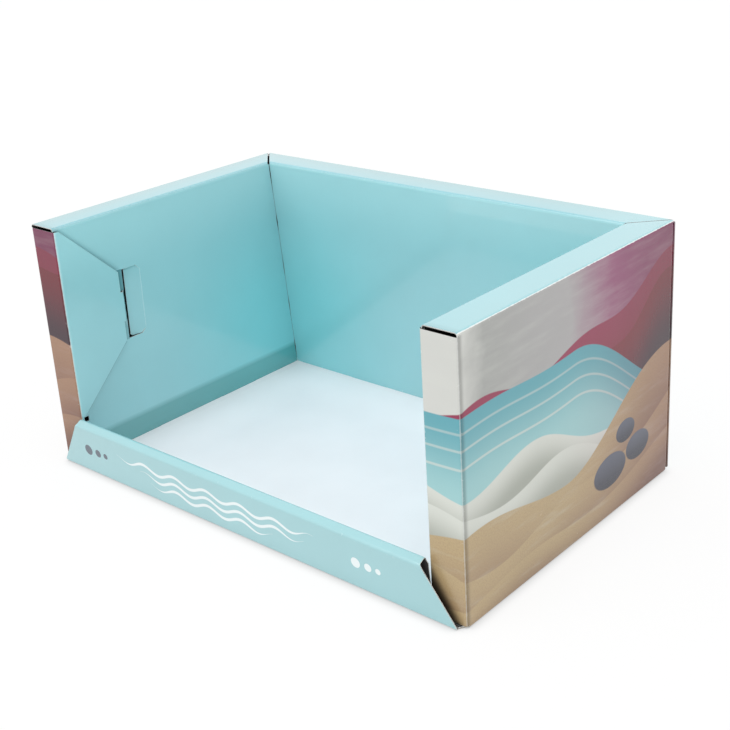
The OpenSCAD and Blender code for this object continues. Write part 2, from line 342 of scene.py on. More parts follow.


# one strip of the blank: printed face, reverse, and cut edges wherever it isn't folded on to another strip
# reverse faces take the dark reverse, painted shade for the hollow walls, unless given otherwise
def addStrip(sheet, outline, holes, uLines, vLines, place, isSeam, folds, inkOf, uvOf, acrossOf,
             reverseOf=lambda u, v: hollow, shadeOf=lambda u, v: 0.0, pinchOf=lambda u, v: 1.0,
             edgeInk=lambda u, v: rawEdge, edgeUv=lambda u, v: (0, 0), reverseUv=plainUv):
    spots, cells = cutCells(outline, holes, uLines, vLines)
    sides = {}
    for cell in cells:
        for a, b in zip(cell, cell[1:] + cell[:1]):
            sides.setdefault((min(a, b), max(a, b)), []).append((a, b))
    rim = [runs[0] for runs in sides.values() if len(runs) == 1]
    cut = [pair for pair in rim if not isSeam(*midOf(spots, pair))]
    edgeGap = gapToCuts(spots, cut)
    pinch = sheetMesh["pinch"]*np.exp(-(edgeGap/sheetMesh["pinchReach"])**2)
    pinch *= np.array([pinchOf(*p) for p in spots])
    roll = sheetMesh["edgeRoll"]*np.exp(-(edgeGap/sheetMesh["rollReach"])**2)
    top, low = [], []
    for i, (u, v) in enumerate(spots):
        gap, wear = min(f(u, v) for f in folds)
        data = (min(gap, farOff), wear, min(float(edgeGap[i]), farOff), acrossOf(u, v), shadeOf(u, v))
        top.append(sheet.vert(place(u, v, float(roll[i])), *data, 0.0))
        low.append(sheet.vert(place(u, v, board - float(pinch[i])), *data, 1.0))
    # which way round the printed faces go
    u, v = spots[cells[0][0]]
    face = [top[i].co for i in cells[0]]
    normal = (face[1] - face[0]).cross(face[2] - face[1])
    outward = place(u, v, 0.0) - place(u, v, board)
    turned = normal.dot(outward) < 0
    for cell in cells:
        ring = cell[::-1] if turned else cell
        mid = midOf(spots, cell)
        sheet.face([top[i] for i in ring], inkOf(*mid), [uvOf(*spots[i]) for i in ring])
        back = ring[::-1]
        sheet.face([low[i] for i in back], reverseOf(*mid), [reverseUv(*spots[i]) for i in back])
    # cut edges: liner, open core, liner
    inward = {}
    for a, b in cut:
        d = Vector((spots[b][0] - spots[a][0], spots[b][1] - spots[a][1])).normalized()
        for i in (a, b):
            inward[i] = inward.get(i, Vector((0, 0))) + Vector((-d.y, d.x))
    share, recess = sheetMesh["linerShare"], sheetMesh["coreRecess"]
    stacks, cores = {}, {}
    for i, pull in inward.items():
        u, v = spots[i]
        pull = pull.normalized()*recess if pull.length > 1e-6 else pull
        first, last = float(roll[i]), board - float(pinch[i])
        into = place(u + pull.x, v + pull.y, (first + last)/2) - place(u, v, (first + last)/2)
        through = place(u, v, last) - place(u, v, first)
        seat = place(u, v, (first + last)/2) + into*sheetMesh["coreSet"]
        cores[i] = (seat, into, through*(0.5 - share), acrossOf(u, v))
        ring = [top[i]]
        for f, step in ((share, 0), (share, 1), (1 - share, 1), (1 - share, 0)):
            co = place(u + pull.x*step, v + pull.y*step, first + (last - first)*f)
            ring.append(sheet.vert(co, farOff, 0.0, 0.0, acrossOf(u, v), 0.0, f))
        ring.append(low[i])
        stacks[i] = ring
    for a, b in cut:
        ink = edgeInk(*midOf(spots, (a, b)))
        for k in range(len(stacks[a]) - 1):
            ring = [stacks[b][k], stacks[a][k], stacks[a][k + 1], stacks[b][k + 1]]
            uvs = [edgeUv(*spots[i]) for i in (b, a, a, b)]
            if turned:
                ring.reverse()
                uvs.reverse()
            sheet.face(ring, ink, uvs)
        span = math.hypot(spots[a][0] - spots[b][0], spots[a][1] - spots[b][1])
        if ink == rawEdge and abs(cores[a][3] - cores[b][3]) > sheetMesh["coreCross"]*span:
            sheet.coreRuns.append((cores[a], cores[b]))


def rowFold(zones, wears):
    bends = [z for z in zones if z["turn"]]
    mids = [((z["v0"] + z["v1"])/2, w) for z, w in zip(bends, wears)]
    return lambda u, v: min((abs(v - m), w) for m, w in mids)


# the sheet's materials, in the order in which they are appended below
aqua, scenic, liner, rawEdge, hollow = 0, 1, 2, 3, 4
sheet = Sheet()

sideRise = height - 2*foldOut
sideDrop = (height - foldOut - foldOut*math.sin(sideSlope))/math.cos(sideSlope)
sideMiddle = (innerStart + backY(height))/2
lockLow, lockHigh = lockZ - card["lockHeight"]/2, lockZ + card["lockHeight"]/2
pushLow, pushHigh = lockLow + card["pushCorner"], lockHigh - card["pushCorner"]
tabHalf = card["tabWidth"]/2

edgeRow = sheetMesh["edgeRow"]
zLines = spread(foldOut, height - foldOut, (
    pillarFoot, pillarFoot + edgeRow, pillarTop, pillarTop - edgeRow, flapFoot,
    lockLow, lockHigh, pushLow, pushHigh, lockZ - card["tongueHeight"]/2, lockZ + card["tongueHeight"]/2,
    cornerTabFoot, cornerTabTop))
seamLevels = [freeFoot, *spread(card["seamStart"], height - foldOut)]
yLines = spread(innerStart, wallEnd, (
    innerStart, innerStart + placedShade["wallRow"], innerStart + placedShade["wallStrip"],
    wallEnd, wallEnd - edgeRow, windowY, pushY, pushY - card["pushCorner"]))
slitX = innerX - card["slit"]
xHalf = spread(0, lipFootX, (0, lipTopX, lipTopX - edgeRow, lipFootX, slitX, slitX - edgeRow))
xLines = sorted({-x for x in xHalf} | set(xHalf))


# row of a sloping inner panel at a height
def panelRow(start, slope):
    return lambda z: start + (height - foldOut - foldOut*math.sin(slope) - z)/math.cos(slope)


# outline of a lock tab at the foot of a panel, walked up or down the panel's width
def lockTab(mid, onPanel, way):
    first, last, root, tip = mid - way*tabHalf, mid + way*tabHalf, onPanel(freeFoot), onPanel(tabFoot)
    return [(first, root), (first, tip), (last, tip), (last, root)]


# place on a strip whose section is seen from above
def planPlace(zones, sign):
    def place(u, v, deep):
        at = onPath(zones, v, deep)
        return Vector((sign*at.x, at.y - middleY, u))*mm
    return place


def onFirstRow(u, v):
    return near(v, 0)


def sideWall(sign):
    zones = foldPath((halfW - foldOut, 0), 0, [0, sideRise, card["rimWidth"] - 2*foldOut, sideDrop],
                     [90, 90, 90 + math.degrees(sideSlope)])
    v1, v2 = zones[1]["v0"], zones[1]["v1"]          # outer wall
    v3, v4 = zones[3]["v0"], zones[3]["v1"]          # rim
    v5, v6 = zones[5]["v0"], zones[5]["v1"]          # inner panel
    onWall = lambda z: v1 + z - foldOut
    onPanel = panelRow(v5, sideSlope)
    gap = card["mitreGap"] + (card["leftMitre"] if sign < 0 else 0)
    mitre = lambda v: depth - gap - (halfW - onPath(zones, v, 0).x)
    rimLow, rimHigh = v2 + rimRise, v5 - rimRise
    slotLow, slotHigh = onWall(pillarTop) + card["slip"], onPanel(pillarTop + card["slip"])
    tabLow, tabHigh = onWall(cornerTabFoot), onWall(cornerTabTop)
    toeY, toeTop, toeLow = card["toeSlot"]
    outline = [(innerStart, 0), (innerStart, v1), (foldOut, v1), (foldOut, onWall(pillarTop)),
               (innerStart, onWall(pillarTop)), (innerStart, slotLow), (rimStart, slotLow),
               (rimStart, slotHigh), (innerStart, slotHigh),
               (innerStart, onPanel(toeTop)), (toeY, onPanel(toeTop)), (toeY, onPanel(toeLow)),
               (innerStart, onPanel(toeLow)), (innerStart, onPanel(freeFoot))]
    for end in (-1, 1):
        outline += lockTab(sideMiddle + end*card["sideTabPitch"]/2, onPanel, 1)
    outline += [(backY(z) - seamAt(z), onPanel(z)) for z in seamLevels]
    steps = sheetMesh["bendSteps"]
    outline += [(mitre(v), v) for v in (*np.linspace(rimHigh, v4, steps), *np.linspace(v3, rimLow, steps))]
    outline += [(wallEnd, rimLow), (wallEnd, tabHigh), (wallEnd, tabLow), (wallEnd, 0)]
    slotY, pushTurn = card["flapLength"] + 2*card["slit"], pushY - card["pushCorner"]
    slotHalf = card["tongueHeight"]/2 - card["slip"]
    slotFoot, slotTop = lockZ - slotHalf, lockZ + slotHalf
    window = [(windowY, lockLow), (pushTurn, lockLow), (pushY, pushLow), (pushY, pushHigh),
              (pushTurn, lockHigh), (windowY, lockHigh),
              (windowY, slotTop), (slotY, slotTop), (slotY, slotFoot), (windowY, slotFoot)]
    window = [(y, onPanel(z)) for y, z in window]
    clear = sheetMesh["wallClear"]
    rows = [v for v in pathRows(zones) if not (v1 + clear < v < v2 - clear or v5 + clear < v < v6 - clear)]
    levels = [z for z in zLines if foldOut + clear < z < height - foldOut - sheetMesh["rimClear"]]
    rows += [onWall(z) for z in levels] + [onPanel(z) for z in levels]
    bandLow, bandSoft = placedShade["bandLow"], placedShade["bandSoft"]
    rows += [onPanel(bandLow), onPanel(bandLow + bandSoft), onWall(foldOut + clear)]
    middleOfTop = (v2 + v3)/2

    def place(u, v, deep):
        at = onPath(zones, v, deep)
        return Vector((sign*at.x, u - middleY, at.y))*mm

    def isSeam(u, v):
        return (near(v, 0) or near(u, foldOut) and v1 < v < onWall(pillarTop)
                or near(u, wallEnd) and tabLow < v < tabHigh
                or near(u, pushY) and onPanel(pushHigh) < v < onPanel(pushLow))

    def upright(u, v):
        return (u - foldOut + quarterBend/2, creaseWear["upright"]) if v < v2 else noFold

    def rear(u, v):
        return (wallEnd - u + quarterBend/2, 0.0) if v < v2 else noFold

    def pushFold(u, v):
        beyond = max(0, onPanel(pushHigh) - v, v - onPanel(pushLow))
        return (math.hypot(u - pushY, beyond), creaseWear["push"]) if v5 < v < v6 else noFold

    def uvOf(u, v):
        if v > v3:
            return plainUv(u, v)
        z = onPath(zones, v, 0).y if v > v1 else v - v1 + foldOut
        return plainUv(u if sign > 0 else depth - u, z)

    # painted shade: a strip beside the crease to the pillar, and a band at the inner panel's foot
    def shadeOf(u, v):
        if v < v2:
            return max(0, 1 - (u - foldOut)/placedShade["wallStrip"])
        return 1 - min(1, max(0, (onPath(zones, v, 0).y - bandLow)/bandSoft)) if v > v5 else 0.0

    folds = [rowFold(zones, creaseWear["right" if sign > 0 else "left"]), upright, rear, pushFold]
    addStrip(sheet, outline, [window], yLines, rows, place, isSeam, folds,
             lambda u, v: scenic if v < middleOfTop else aqua, uvOf, lambda u, v: u, shadeOf=shadeOf)


# pillar, lock flap and tongue
def sideReturns(sign):
    tilt = card["tongueTilt"]
    crease = card["flapLength"] + card["tongueNeck"]
    flats = [card["tongueLength"], crease - foldOut, halfW - flapX - 2*foldOut]
    turns = [tilt, 90, 90]
    trial = foldPath((0, 0), 270 - tilt, flats, turns)
    shift = Vector((flapX, crease)) - trial[2]["at"]
    zones = foldPath(shift, 270 - tilt, flats, turns)
    flap0, flap1, pillar, end = zones[2]["v0"], zones[2]["v1"], zones[5]["v0"], zones[5]["v1"]
    tongueLow, tongueHigh = lockZ - card["tongueHeight"]/2, lockZ + card["tongueHeight"]/2
    flapEnd, flapTurn = flap0 + card["tongueNeck"], flap1 - card["flapFlat"]
    corner, slopeFoot = card["tongueCorner"], card["slopeFoot"]
    outline = [(tongueLow + corner, 0), (tongueLow, corner), (tongueLow, flapEnd), (lockLow, flapEnd),
               (slopeFoot, flap1 - card["toeGap"]), (slopeFoot, flap1),
               (pillarFoot, flap1), (pillarFoot, end), (pillarTop, end), (pillarTop, flapTurn),
               (lockHigh, flapEnd), (tongueHigh, flapEnd), (tongueHigh, corner), (tongueHigh - corner, 0)]
    flapFold = (zones[3]["v0"] + zones[3]["v1"])/2

    def uvOf(u, v):
        run = v - end + foldOut
        return plainUv(run if sign > 0 else depth - run, u)

    # painted shade on the crease from the pillar to the side wall
    def shadeOf(u, v):
        inStrip = (placedShade["pillarStrip"] - (end - v))/placedShade["pillarSoft"]
        return min(1, max(0, inStrip)) if v > pillar else 0.0

    # painted shade: the pillar's top cut edge past the flap's crease takes the dark reverse
    addStrip(sheet, outline, [], zLines, pathRows(zones), planPlace(zones, sign), lambda u, v: near(v, end),
             [rowFold(zones, creaseWear["returns"])], lambda u, v: scenic if v > flapFold else aqua,
             uvOf, lambda u, v: v, shadeOf=shadeOf,
             edgeInk=lambda u, v: hollow if near(u, pillarTop) and v > flapTurn else rawEdge)


def cornerTab(sign):
    zones = foldPath((halfW, wallEnd), 90, [0, card["cornerTabLength"]], [90])
    root, tip = zones[1]["v0"], zones[1]["v1"]
    low, high, cut = cornerTabFoot, cornerTabTop, card["cornerTabCut"]
    outline = [(low, 0), (high, 0), (high, root), (high - cut, tip), (low + cut, tip), (low, root)]
    addStrip(sheet, outline, [], zLines, pathRows(zones), planPlace(zones, sign), onFirstRow,
             [rowFold(zones, (0.0,))], lambda u, v: scenic if v < root else aqua,
             lambda u, v: plainUv(depth if sign > 0 else 0.0, u), lambda u, v: v)


def pushFlap(sign):
    zones = foldPath((0, pushY), 270, [0, card["pushLength"]], [card["pushTilt"]])
    tip, corner, nose = zones[1]["v1"], card["pushCorner"], card["pushNose"]
    low, high, strip = lockLow + card["slip"], lockHigh - card["slip"], placedShade["pushStrip"]
    outline = [(pushLow, 0), (pushHigh, 0), (high, corner), (high, tip - nose), (high - nose, tip),
               (low + nose, tip), (low, tip - nose), (low, corner)]
    lean, stand = math.sin(sideSlope), math.cos(sideSlope)

    def place(u, v, deep):
        at, rise = onPath(zones, v, deep), (u - lockZ)/stand
        x, z = panelX(lockZ) + at.x*stand - rise*lean, lockZ + at.x*lean + rise*stand
        return Vector((sign*x, at.y - middleY, z))*mm

    # painted shadow along the flap's upper edge, stronger towards its free end
    addStrip(sheet, outline, [], [*zLines, high - strip], pathRows(zones), place, onFirstRow,
             [rowFold(zones, (creaseWear["push"],))], lambda u, v: aqua, lambda u, v: plainUv(v, u),
             lambda u, v: v, shadeOf=lambda u, v: max(0, 1 - (high - u)/strip)*min(1, v/tip))


def backWall():
    drop = (height - foldOut - foldOut*math.sin(backSlope))/math.cos(backSlope)
    zones = foldPath((depth - foldOut, 0), 0, [0, sideRise, card["rimWidth"] - 2*foldOut, drop],
                     [90, 90, 90 + math.degrees(backSlope)])
    v1, v2, v3, v4, v5 = zones[1]["v0"], zones[1]["v1"], zones[3]["v0"], zones[3]["v1"], zones[5]["v0"]
    onPanel = panelRow(v5, backSlope)
    mitre = lambda v: halfW - card["mitreGap"] - (depth - onPath(zones, v, 0).x)
    rimLow, rimHigh, steps = v2 + rimRise, v5 - rimRise, sheetMesh["bendSteps"]
    foot, edge, band = halfW - foldOut, halfW - card["slip"], halfW - card["rearBand"]
    right = [(foot, 0), (foot, v1), (edge, v1), (edge, rimLow)]
    right += [(mitre(v), v) for v in (*np.linspace(rimLow, v3, steps), *np.linspace(v4, rimHigh, steps))]
    right += [(panelX(z) - seamAt(z), rimHigh if near(z, height - foldOut) else onPanel(z))
              for z in seamLevels[::-1]]
    right += lockTab(card["backTabPitch"]/2, onPanel, -1)
    outline = right + [(-u, v) for u, v in right[::-1]]

    def place(u, v, deep):
        at = onPath(zones, v, deep)
        return Vector((u, at.x - middleY, at.y))*mm

    sideUv = lambda u, v: plainUv(depth if u > 0 else 0.0, v - v1 + foldOut)
    addStrip(sheet, outline, [], [*xLines, band, -band], pathRows(zones), place, onFirstRow,
             [rowFold(zones, creaseWear["back"])], lambda u, v: aqua, plainUv, lambda u, v: v,
             lambda u, v: scenic if v < v2 and abs(u) > band else hollow,
             pinchOf=lambda u, v: sheetMesh["rearPinch"] if v < v2 else 1.0,
             edgeInk=lambda u, v: scenic if v1 < v < v2 else rawEdge, edgeUv=sideUv, reverseUv=sideUv)


def frontLip():
    drop = (card["lipHeight"] - foldOut + foldOut*math.sin(lipLean))/math.cos(lipLean)
    crown = math.degrees(crownTurn)
    zones = foldPath((lipRoot, 0), 0, [0, lipFace, card["lipCrown"], drop],
                     [90 - card["lipLean"], crown, 180 - crown])
    v1, v3, v5 = zones[1]["v0"], zones[3]["v0"], zones[5]["v0"]
    sectionZ = lambda v: onPath(zones, v, 0).y
    onPanel = lambda z: v5 + (sectionZ(v5) - z)/math.cos(lipLean)
    halfAt = lambda z: lipFootX - (z - foldOut)/(card["lipHeight"] - 2*foldOut)*(lipFootX - lipTopX)
    right = [(lipFootX, 0), (lipFootX, v1)]
    right += [(max(lipTopX, min(lipFootX, halfAt(sectionZ(v)))), v)
              for v in np.linspace(v1 + sheetMesh["support"], v3, sheetMesh["slantSteps"])]
    plyEnd = flapX - card["slip"]
    right += [(lipTopX, v3 + card["lipEase"]), (lipTopX, v5), (plyEnd, v5 + card["lipShoulder"]),
              (plyEnd, onPanel(freeFoot))]
    right += lockTab(card["lipTabPitch"]/2, onPanel, -1)
    outline = right + [(-u, v) for u, v in right[::-1]]

    def place(u, v, deep):
        at = onPath(zones, v, deep)
        return Vector((u, -at.x - middleY, at.y))*mm

    addStrip(sheet, outline, [], xLines, pathRows(zones), place, onFirstRow,
             [rowFold(zones, creaseWear["lip"])], lambda u, v: aqua, plainUv, lambda u, v: v)


def basePanel():
    edge, rear = halfW - foldOut, depth - foldOut
    right = [(lipFootX, -lipRoot), (edge, foldOut), (edge, innerStart), (edge, wallEnd), (edge, rear)]
    outline = right + [(-u, v) for u, v in right[::-1]]
    fit, tight, reach, holes = card["tabFit"], card["tabTight"], tabHalf + card["tabFit"], []
    slot = lambda u0, u1, v0, v1: [(u0, v0), (u1, v0), (u1, v1), (u0, v1)]
    inside, outside = panelX(board) - tight, panelX(0) + board/math.cos(sideSlope) + fit
    nearBack, farBack = backY(board) - tight, backY(0) + board/math.cos(backSlope) + fit
    farLip = lipDepth/math.cos(lipLean) + tight - lipY(board)
    nearLip = (lipDepth - board)/math.cos(lipLean) - fit - lipY(board)
    for sign in (-1, 1):
        for end in (-1, 1):
            mid = sideMiddle + end*card["sideTabPitch"]/2
            holes.append(slot(sign*inside, sign*outside, mid - reach, mid + reach))
    for sign in (-1, 1):
        for pitch, low, high in (("backTabPitch", nearBack, farBack), ("lipTabPitch", nearLip, farLip)):
            mid = sign*card[pitch]/2
            holes.append(slot(mid - reach, mid + reach, low, high))

    def place(u, v, deep):
        return Vector((u, v - middleY, deep))*mm

    def isSeam(u, v):
        if near(abs(u), edge):
            return innerStart < v < wallEnd
        return near(v, -lipRoot) or near(v, rear)

    def border(u, v):
        return min(edge - abs(u), v + lipRoot, rear - v) + quarterBend/2, creaseWear["base"]

    # painted shade over the middle of the tray floor, none at the walls
    def shadeOf(u, v):
        return min(1, max(0, min(innerX - abs(u), v, backY(0) - v)/placedShade["floorRun"]))

    # painted shade: the base's front beside the lip's ends takes the dark reverse
    strip = placedShade["lipEndStrip"]
    addStrip(sheet, outline, holes, xLines, [strip, *yLines], place, isSeam, [border],
             lambda u, v: liner, plainUv, lambda u, v: v,
             lambda u, v: hollow if v < strip and abs(u) > lipTopX else liner, shadeOf, lambda u, v: 0.0)


basePanel()
for sign in (1, -1):
    sideWall(sign)
    sideReturns(sign)
    cornerTab(sign)
    pushFlap(sign)
backWall()
frontLip()


# the strips joined into one closed sheet
def joinSheet(bm):
    bmesh.ops.remove_doubles(bm, verts=bm.verts, dist=sheetMesh["merge"]*mm)
    gaps = [e for e in bm.edges if e.is_boundary]
    for f in bmesh.ops.holes_fill(bm, edges=gaps, sides=sheetMesh["pinHole"])["faces"]:
        f.material_index = rawEdge
    openEdges = sum(1 for e in bm.edges if len(e.link_faces) != 2)
    for e in bm.edges:
        if len(e.link_faces) == 2 and e.calc_face_angle(0) > math.radians(sheetMesh["sharp"]):
            e.smooth = False
    print("folded sheet:", len(bm.verts), "points,", len(bm.faces), "faces,", openEdges, "open edges")
    mesh = bpy.data.meshes.new("card_tray")
    bm.to_mesh(mesh)
    bm.free()
    tray = bpy.data.objects.new("card_tray", mesh)
    bpy.context.collection.objects.link(tray)
    return tray


cardTray = joinSheet(sheet.bm)
trayMesh = cardTray.data


def srgb(r, g, b):
    lift = lambda c: c/255/12.92 if c/255 <= 0.04045 else ((c/255 + 0.055)/1.055)**2.4
    return (lift(r), lift(g), lift(b), 1.0)


# small helpers for node trees
def addNode(tree, kind, **settings):
    n = tree.nodes.new(kind)
    for key, value in settings.items():
        setattr(n, key, value)
    return n


def feed(tree, socket, value):
    if isinstance(value, bpy.types.NodeSocket):
        tree.links.new(value, socket)
    else:
        socket.default_value = value


def calc(tree, operation, *values, clamp=False):
    n = addNode(tree, "ShaderNodeMath", operation=operation, use_clamp=clamp)
    for socket, value in zip(n.inputs, values):
        feed(tree, socket, value)
    return n.outputs[0]


def times(tree, *values):
    product = values[0]
    for value in values[1:]:
        product = calc(tree, "MULTIPLY", product, value)
    return product


def minus(tree, a, b):
    return calc(tree, "SUBTRACT", a, b)


def most(tree, a, b):
    return calc(tree, "MAXIMUM", a, b)


def under(tree, value, limit):
    return calc(tree, "LESS_THAN", value, limit)


def over(tree, value, limit):
    return calc(tree, "GREATER_THAN", value, limit)


def distance(tree, value, middle=0.0):
    return calc(tree, "ABSOLUTE", minus(tree, value, middle) if middle else value)


# a share from 0 to 1, spread evenly about a middle value
def around(tree, middle, share, spread):
    low = minus(tree, middle, spread/2) if isinstance(middle, bpy.types.NodeSocket) else middle - spread/2
    return calc(tree, "MULTIPLY_ADD", share, spread, low)


def fade(tree, value, low, high, toLow=0.0, toHigh=1.0):
    n = addNode(tree, "ShaderNodeMapRange", interpolation_type="SMOOTHSTEP")
    for socket, v in zip(n.inputs[:5], (value, low, high, toLow, toHigh)):
        feed(tree, socket, v)
    return n.outputs[0]


def blendColour(tree, share, a, b, mode="MIX"):
    n = addNode(tree, "ShaderNodeMix", data_type="RGBA", blend_type=mode)
    feed(tree, n.inputs[0], share)
    feed(tree, n.inputs[6], a)
    feed(tree, n.inputs[7], b)
    return n.outputs[2]


def noise(tree, vector, scale, detail=2.0, rough=0.5, stretch=None):
    if stretch:
        m = addNode(tree, "ShaderNodeMapping")
        feed(tree, m.inputs[0], vector)
        m.inputs["Scale"].default_value = stretch
        vector = m.outputs[0]
    n = addNode(tree, "ShaderNodeTexNoise")
    feed(tree, n.inputs["Vector"], vector)
    n.inputs["Scale"].default_value = scale
    n.inputs["Detail"].default_value = detail
    n.inputs["Roughness"].default_value = rough
    return n.outputs["Fac"]


spotEdge = (0.9, 1.08)          # where the soft edge of a printed spot starts and ends, in squared radii


# soft-edged ellipse in two coordinates
def spot(tree, u, v, u0, v0, a, b):
    across = calc(tree, "DIVIDE", minus(tree, u, u0), a)
    up = calc(tree, "DIVIDE", minus(tree, v, v0), b)
    reach = calc(tree, "ADD", times(tree, across, across), times(tree, up, up))
    return fade(tree, reach, *spotEdge, 1.0, 0.0)


# x, y and z of a place on the part
def objectPlace(tree):
    parts = addNode(tree, "ShaderNodeSeparateXYZ")
    feed(tree, parts.inputs[0], addNode(tree, "ShaderNodeTexCoord").outputs["Object"])
    return parts.outputs


def attribute(tree, name):
    return addNode(tree, "ShaderNodeAttribute", attribute_name=name).outputs["Fac"]


def newGroup(name, inputs, outputs):
    group = bpy.data.node_groups.new(name, "ShaderNodeTree")
    for label, kind, value in inputs:
        socket = group.interface.new_socket(label, in_out="INPUT", socket_type=kind)
        socket.default_value = value
    for label, kind in outputs:
        group.interface.new_socket(label, in_out="OUTPUT", socket_type=kind)
    return group, addNode(group, "NodeGroupInput"), addNode(group, "NodeGroupOutput")


# wear, grain and relief of the card; reaches are millimetres from a crease or a cut edge
cardWear = {
    "broadScale": 18, "fineScale": 420, "grainScale": 2600, "mottle": 0.10, "grain": 0.05,
    "wobble": 0.9, "cutWobble": 0.5, "creaseReach": (0.1, 0.55), "cutReach": (0.05, 0.3), "cutLine": 0.22,
    "scuffScale": 260, "scuffShare": (0.66, 0.72), "scuffReach": (0.6, 3.5), "scuff": 0.16,
    "roughScale": 60, "roughSpread": 0.10, "wornRough": 0.3,
    "washboard": 0.5, "sway": 9.0, "swayScale": 0.07, "fineHeight": 0.6, "grainHeight": 0.15,
}


# laminated print: ink mottling, cracked creases, pale cut lines, scuffs and the faint washboard of the flutes
def cardFinishGroup():
    tree, inp, out = newGroup("cardFinish", [
        ("Ink", "NodeSocketColor", (0.5, 0.5, 0.5, 1)), ("Paper", "NodeSocketColor", (0.8, 0.8, 0.8, 1)),
        ("Shade", "NodeSocketColor", (0.7, 0.7, 0.7, 1)), ("Wear", "NodeSocketFloat", 1.0),
        ("Gloss", "NodeSocketFloat", 0.25), ("Flute Pitch", "NodeSocketFloat", card["flutePitch"])],
        [("Colour", "NodeSocketColor"), ("Roughness", "NodeSocketFloat"), ("Height", "NodeSocketFloat")])
    at = addNode(tree, "ShaderNodeTexCoord").outputs["Object"]
    foldGap, edgeGap, across = (attribute(tree, name) for name in ("foldGap", "edgeGap", "across"))
    broad = noise(tree, at, cardWear["broadScale"], 3)
    fine = noise(tree, at, cardWear["fineScale"], 3, 0.6)
    grain = noise(tree, at, cardWear["grainScale"], 1)
    # ink
    mottle = around(tree, around(tree, 1.0, broad, cardWear["mottle"]), grain, cardWear["grain"])
    scale = addNode(tree, "ShaderNodeVectorMath", operation="SCALE")
    # painted shade: the ink is darkened by the Shade colour where the shade attribute is set
    shaded = blendColour(tree, attribute(tree, "shade"), inp.outputs["Ink"], inp.outputs["Shade"], "MULTIPLY")
    feed(tree, scale.inputs[0], shaded)
    feed(tree, scale.inputs["Scale"], mottle)
    # wear
    wobble = around(tree, 0.0, fine, cardWear["wobble"])
    crease = fade(tree, calc(tree, "ADD", foldGap, wobble), *cardWear["creaseReach"], 1.0, 0.0)
    crease = times(tree, crease, attribute(tree, "foldWear"))
    cutGap = calc(tree, "MULTIPLY_ADD", wobble, cardWear["cutWobble"], edgeGap)
    cutLine = fade(tree, cutGap, *cardWear["cutReach"], cardWear["cutLine"], 0.0)
    beside = fade(tree, calc(tree, "MINIMUM", foldGap, edgeGap), *cardWear["scuffReach"], 1.0, 0.0)
    scuff = fade(tree, noise(tree, at, cardWear["scuffScale"], 2, 0.7), *cardWear["scuffShare"])
    scuff = times(tree, scuff, beside, cardWear["scuff"])
    worn = calc(tree, "ADD", most(tree, crease, cutLine), scuff, clamp=True)
    worn = calc(tree, "MULTIPLY", worn, inp.outputs["Wear"], clamp=True)
    feed(tree, out.inputs["Colour"], blendColour(tree, worn, scale.outputs[0], inp.outputs["Paper"]))
    rough = noise(tree, at, cardWear["roughScale"], 3)
    rough = around(tree, inp.outputs["Gloss"], rough, cardWear["roughSpread"])
    feed(tree, out.inputs["Roughness"], calc(tree, "MULTIPLY_ADD", worn, cardWear["wornRough"], rough))
    # relief
    turn = calc(tree, "DIVIDE", times(tree, across, math.tau), inp.outputs["Flute Pitch"])
    relief = times(tree, calc(tree, "SINE", turn), cardWear["washboard"])
    sway = addNode(tree, "ShaderNodeTexNoise", noise_dimensions="1D")
    feed(tree, sway.inputs["W"], across)
    sway.inputs["Scale"].default_value = cardWear["swayScale"]
    sway.inputs["Detail"].default_value = 2.0
    for layer, deep in ((sway.outputs["Fac"], "sway"), (grain, "grainHeight"), (fine, "fineHeight")):
        relief = calc(tree, "MULTIPLY_ADD", layer, cardWear[deep], relief)
    feed(tree, out.inputs["Height"], relief)
    return tree


cardFinish = cardFinishGroup()


def placeFinish(tree, ink, look):
    g = addNode(tree, "ShaderNodeGroup", node_tree=cardFinish)
    feed(tree, g.inputs["Ink"], ink)
    for label, key in (("Paper", "paper"), ("Shade", "shade"), ("Wear", "wear"), ("Gloss", "gloss")):
        feed(tree, g.inputs[label], look[key])
    return g


def startMaterial(name):
    m = bpy.data.materials.new(name)
    m.use_nodes = True
    return m, m.node_tree, m.node_tree.nodes["Principled BSDF"]


def addBump(tree, shader, height, look):
    bump = addNode(tree, "ShaderNodeBump")
    bump.inputs["Strength"].default_value = look["bump"]
    bump.inputs["Distance"].default_value = look["bumpDepth"]
    feed(tree, bump.inputs["Height"], height)
    feed(tree, shader.inputs["Normal"], bump.outputs["Normal"])


def finishCard(tree, shader, ink, look):
    g = placeFinish(tree, ink, look)
    feed(tree, shader.inputs["Base Color"], g.outputs["Colour"])
    feed(tree, shader.inputs["Roughness"], g.outputs["Roughness"])
    if "coat" in look:
        shader.inputs["Coat Weight"].default_value = look["coat"]
        shader.inputs["Coat Roughness"].default_value = look["coatRoughness"]
    addBump(tree, shader, g.outputs["Height"], look)


# plain aqua print, with darker copies of its ink on the rims and the lip's face as painted shade; reaches in
# metres
aquaLook = {
    "ink": srgb(157, 214, 220), "cornerShadeInk": srgb(141, 222, 228), "litTopInk": srgb(172, 226, 231),
    "rimInk": srgb(152, 205, 212), "rimShadeInner": srgb(134, 195, 205), "rimShadeOuter": srgb(143, 190, 195),
    "lipInk": srgb(156, 203, 208), "paper": srgb(226, 240, 241), "shade": (0.42, 0.62, 0.6, 1), "wear": 0.8,
    "cornerShadeReach": (0.01, 0.15), "cornerShadeHeight": (0.06, 0.17), "cornerShadeTop": 0.2, "litTopHeight": (0.135, 0.192),
    "rimTurn": (0.10, 0.19), "rimRight": 0.25, "outerPly": 0.004, "topFlat": 0.0003,
    "gloss": 0.24, "coat": 1.0, "coatRoughness": 0.05, "bump": 0.25, "bumpDepth": 0.00003,
}

